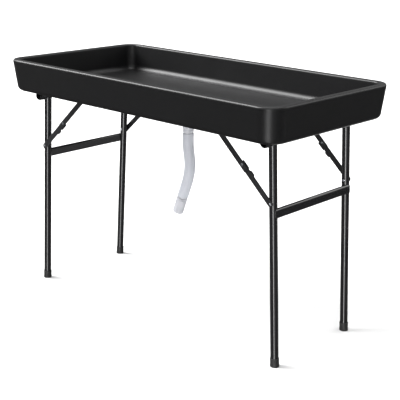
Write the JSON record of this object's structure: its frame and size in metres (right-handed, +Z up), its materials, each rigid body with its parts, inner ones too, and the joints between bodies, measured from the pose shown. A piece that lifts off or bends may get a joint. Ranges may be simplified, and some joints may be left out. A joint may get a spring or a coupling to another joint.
{
  "type": "folding cooler table",
  "caption": "Deep rectangular tub on two folding leg frames with knuckle braces, a floor drain and a hanging drain hose.",
  "frame": {"origin": "on the floor under the middle of the table", "axes": "+X along the table's length, +Y across it to the back, +Z up"},
  "size_m": [1.2, 0.6, 0.832],
  "materials": {
    "tub_plastic": "fine moulded texture, satin",
    "leg_enamel": "gloss black enamel",
    "cap_plastic": "matte moulded",
    "brace_steel": "satin black",
    "rivet_steel": "zinc plated",
    "white_pvc": "moulded, semi-gloss",
    "hose_vinyl": "smooth flexible vinyl",
    "gasket_rubber": "matte"
  },
  "bodies": {
    "tub": {"tub": "tub_plastic", "drain_body": "white_pvc", "drain_gasket": "gasket_rubber", "drain_lock_nut": "white_pvc", "hose_adapter": "white_pvc", "drain_hose": "hose_vinyl", "hose_end_fitting": "white_pvc", "right_front_saddle": "brace_steel", "right_front_saddle_screw_inner": "rivet_steel", "right_front_saddle_screw_outer": "rivet_steel", "right_front_brace_bracket": "brace_steel", "right_front_bracket_rivet": "rivet_steel", "right_front_bracket_screw": "rivet_steel", "right_back_saddle": "brace_steel", "right_back_saddle_screw_inner": "rivet_steel", "right_back_saddle_screw_outer": "rivet_steel", "right_back_brace_bracket": "brace_steel", "right_back_bracket_rivet": "rivet_steel", "right_back_bracket_screw": "rivet_steel", "left_back_saddle": "brace_steel", "left_back_saddle_screw_inner": "rivet_steel", "left_back_saddle_screw_outer": "rivet_steel", "left_back_brace_bracket": "brace_steel", "left_back_bracket_rivet": "rivet_steel", "left_back_bracket_screw": "rivet_steel", "left_front_saddle": "brace_steel", "left_front_saddle_screw_inner": "rivet_steel", "left_front_saddle_screw_outer": "rivet_steel", "left_front_brace_bracket": "brace_steel", "left_front_bracket_rivet": "rivet_steel", "left_front_bracket_screw": "rivet_steel"},
    "strainer": {"drain_strainer": "white_pvc"},
    "right_leg_frame": {"right_pivot_tube": "leg_enamel", "right_crossbar": "leg_enamel", "right_front_leg": "leg_enamel", "right_front_foot_cap": "cap_plastic", "right_front_leg_rivet": "rivet_steel", "right_back_leg": "leg_enamel", "right_back_foot_cap": "cap_plastic", "right_back_leg_rivet": "rivet_steel"},
    "left_leg_frame": {"left_pivot_tube": "leg_enamel", "left_crossbar": "leg_enamel", "left_back_leg": "leg_enamel", "left_back_foot_cap": "cap_plastic", "left_back_leg_rivet": "rivet_steel", "left_front_leg": "leg_enamel", "left_front_foot_cap": "cap_plastic", "left_front_leg_rivet": "rivet_steel"},
    "right_front_upper_link": {"right_front_upper_arm": "brace_steel", "right_front_knuckle_rivet": "rivet_steel"},
    "right_front_lower_link": {"right_front_lower_arm": "brace_steel"},
    "right_back_upper_link": {"right_back_upper_arm": "brace_steel", "right_back_knuckle_rivet": "rivet_steel"},
    "right_back_lower_link": {"right_back_lower_arm": "brace_steel"},
    "left_back_upper_link": {"left_back_upper_arm": "brace_steel", "left_back_knuckle_rivet": "rivet_steel"},
    "left_back_lower_link": {"left_back_lower_arm": "brace_steel"},
    "left_front_upper_link": {"left_front_upper_arm": "brace_steel", "left_front_knuckle_rivet": "rivet_steel"},
    "left_front_lower_link": {"left_front_lower_arm": "brace_steel"}
  },
  "joints": [
    {"name": "right_fold", "type": "hinge", "parent": "tub", "child": "right_leg_frame", "pos_m": [0.4969, 0.0166, 0.7055], "axis": [0, 1, 0], "range_deg": [0, 93]},
    {"name": "left_fold", "type": "hinge", "parent": "tub", "child": "left_leg_frame", "pos_m": [-0.4969, -0.0166, 0.7055], "axis": [0, -1, 0], "range_deg": [0, 93]},
    {"name": "right_front_bracket_pivot", "type": "hinge", "parent": "tub", "child": "right_front_upper_link", "pos_m": [0.2968, -0.1679, 0.71], "axis": [0, 1, 0], "range_deg": [0, 133]},
    {"name": "right_front_leg_pivot", "type": "hinge", "parent": "right_leg_frame", "child": "right_front_lower_link", "pos_m": [0.50756, -0.1679, 0.5179], "axis": [0, 1, 0], "range_deg": [-139, 0]},
    {"name": "right_back_bracket_pivot", "type": "hinge", "parent": "tub", "child": "right_back_upper_link", "pos_m": [0.2968, 0.2011, 0.71], "axis": [0, 1, 0], "range_deg": [0, 133]},
    {"name": "right_back_leg_pivot", "type": "hinge", "parent": "right_leg_frame", "child": "right_back_lower_link", "pos_m": [0.50756, 0.2011, 0.5179], "axis": [0, 1, 0], "range_deg": [-139, 0]},
    {"name": "left_back_bracket_pivot", "type": "hinge", "parent": "tub", "child": "left_back_upper_link", "pos_m": [-0.2968, 0.1679, 0.71], "axis": [0, -1, 0], "range_deg": [0, 133]},
    {"name": "left_back_leg_pivot", "type": "hinge", "parent": "left_leg_frame", "child": "left_back_lower_link", "pos_m": [-0.50756, 0.1679, 0.5179], "axis": [0, -1, 0], "range_deg": [-139, 0]},
    {"name": "left_front_bracket_pivot", "type": "hinge", "parent": "tub", "child": "left_front_upper_link", "pos_m": [-0.2968, -0.2011, 0.71], "axis": [0, -1, 0], "range_deg": [0, 133]},
    {"name": "left_front_leg_pivot", "type": "hinge", "parent": "left_leg_frame", "child": "left_front_lower_link", "pos_m": [-0.50756, -0.2011, 0.5179], "axis": [0, -1, 0], "range_deg": [-139, 0]},
    {"name": "strainer_lift", "type": "slide", "parent": "tub", "child": "strainer", "axis": [0, 0, 1], "range_m": [0, 0.06]}
  ],
  "couplings": [
    {"joint": "right_front_bracket_pivot", "follows": "right_fold", "ratio": 1.4298},
    {"joint": "right_front_leg_pivot", "follows": "right_fold", "ratio": -1.4795},
    {"joint": "right_back_bracket_pivot", "follows": "right_fold", "ratio": 1.4298},
    {"joint": "right_back_leg_pivot", "follows": "right_fold", "ratio": -1.4795},
    {"joint": "left_back_bracket_pivot", "follows": "left_fold", "ratio": 1.4298},
    {"joint": "left_back_leg_pivot", "follows": "left_fold", "ratio": -1.4795},
    {"joint": "left_front_bracket_pivot", "follows": "left_fold", "ratio": 1.4298},
    {"joint": "left_front_leg_pivot", "follows": "left_fold", "ratio": -1.4795}
  ]
}
